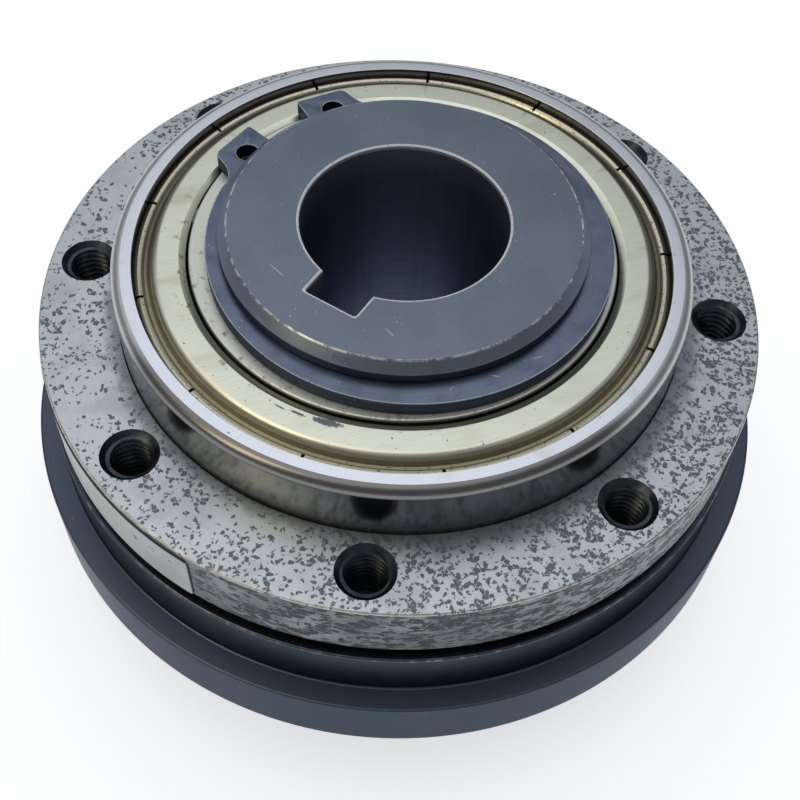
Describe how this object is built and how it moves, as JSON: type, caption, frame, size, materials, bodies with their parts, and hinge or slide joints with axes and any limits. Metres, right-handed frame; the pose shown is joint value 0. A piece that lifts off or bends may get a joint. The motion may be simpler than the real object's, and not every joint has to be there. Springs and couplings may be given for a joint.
{
  "type": "ball-detent safety clutch",
  "caption": "Safety clutch with a keyed hub, a ball-bearing-mounted output flange with tapped holes, and a stepped trip ring that moves axially when the torque limit is passed.",
  "frame": {"origin": "centre of the hub's rear end face, on the clutch axis", "axes": "+Z along the clutch axis from the adjusting nut towards the hub's nose; the keyway lies towards -Y"},
  "size_m": [0.0854, 0.0854, 0.047],
  "materials": {
    "black_oxide_steel": "black oxide over turned steel, satin, edges worn bright",
    "phosphated_spring_steel": "dark phosphate over punched spring steel",
    "bearing_steel": "ground and polished bearing steel",
    "ball_steel": "polished ball steel",
    "cage_steel": "pressed bare sheet steel",
    "shield_sheet_steel": "pressed and tumbled sheet steel, slightly yellow, with brown stains",
    "ground_flange_steel": "fine-ground steel with dark oxide speckles",
    "label_film": "pale grey-green label film, blank",
    "trip_ring_black": "black-oxidised turned steel, oiled",
    "hardened_washer_steel": "hardened and ground steel",
    "pad_brass": "plain turned brass"
  },
  "bodies": {
    "hub": {"hub": "black_oxide_steel", "retaining_ring": "phosphated_spring_steel", "bearing_inner_ring": "bearing_steel", "guide_pins": "bearing_steel", "disc_spring_upper": "phosphated_spring_steel", "disc_spring_lower": "phosphated_spring_steel"},
    "flange": {"drive_flange": "ground_flange_steel", "flange_label": "label_film", "bearing_outer_ring": "bearing_steel", "bearing_shield_upper": "shield_sheet_steel", "bearing_shield_lower": "shield_sheet_steel"},
    "bearing_cage": {"bearing_balls": "ball_steel", "bearing_cage_upper": "cage_steel", "bearing_cage_lower": "cage_steel", "bearing_cage_rivets": "cage_steel"},
    "trip_ring": {"trip_ring": "trip_ring_black", "track_washer": "hardened_washer_steel", "drive_balls": "ball_steel"},
    "spring_seat": {"spring_seat_washer": "hardened_washer_steel"},
    "nut": {"adjusting_nut": "black_oxide_steel", "nut_lock_screws": "phosphated_spring_steel", "nut_lock_pads": "pad_brass"}
  },
  "joints": [
    {"name": "flange_spin", "type": "hinge", "parent": "hub", "child": "flange", "pos_m": [0, 0, 0.03], "axis": [0, 0, 1], "continuous": true},
    {"name": "cage_spin", "type": "hinge", "parent": "hub", "child": "bearing_cage", "pos_m": [0, 0, 0.037], "axis": [0, 0, 1], "continuous": true},
    {"name": "trip_slide", "type": "slide", "parent": "hub", "child": "trip_ring", "axis": [0, 0, 1], "range_m": [0, 0.001], "deforming": ["disc_spring_upper"]},
    {"name": "seat_advance", "type": "slide", "parent": "hub", "child": "spring_seat", "axis": [0, 0, 1], "range_m": [-0.001, 0.0005], "deforming": ["disc_spring_lower"]},
    {"name": "nut_turn", "type": "hinge", "parent": "spring_seat", "child": "nut", "pos_m": [0, 0, 0.005], "axis": [0, 0, 1], "range_deg": [-240, 120]}
  ],
  "couplings": [
    {"joint": "cage_spin", "follows": "flange_spin", "ratio": 0.57},
    {"joint": "seat_advance", "follows": "nut_turn", "m_per_rad": 0.0002387}
  ]
}
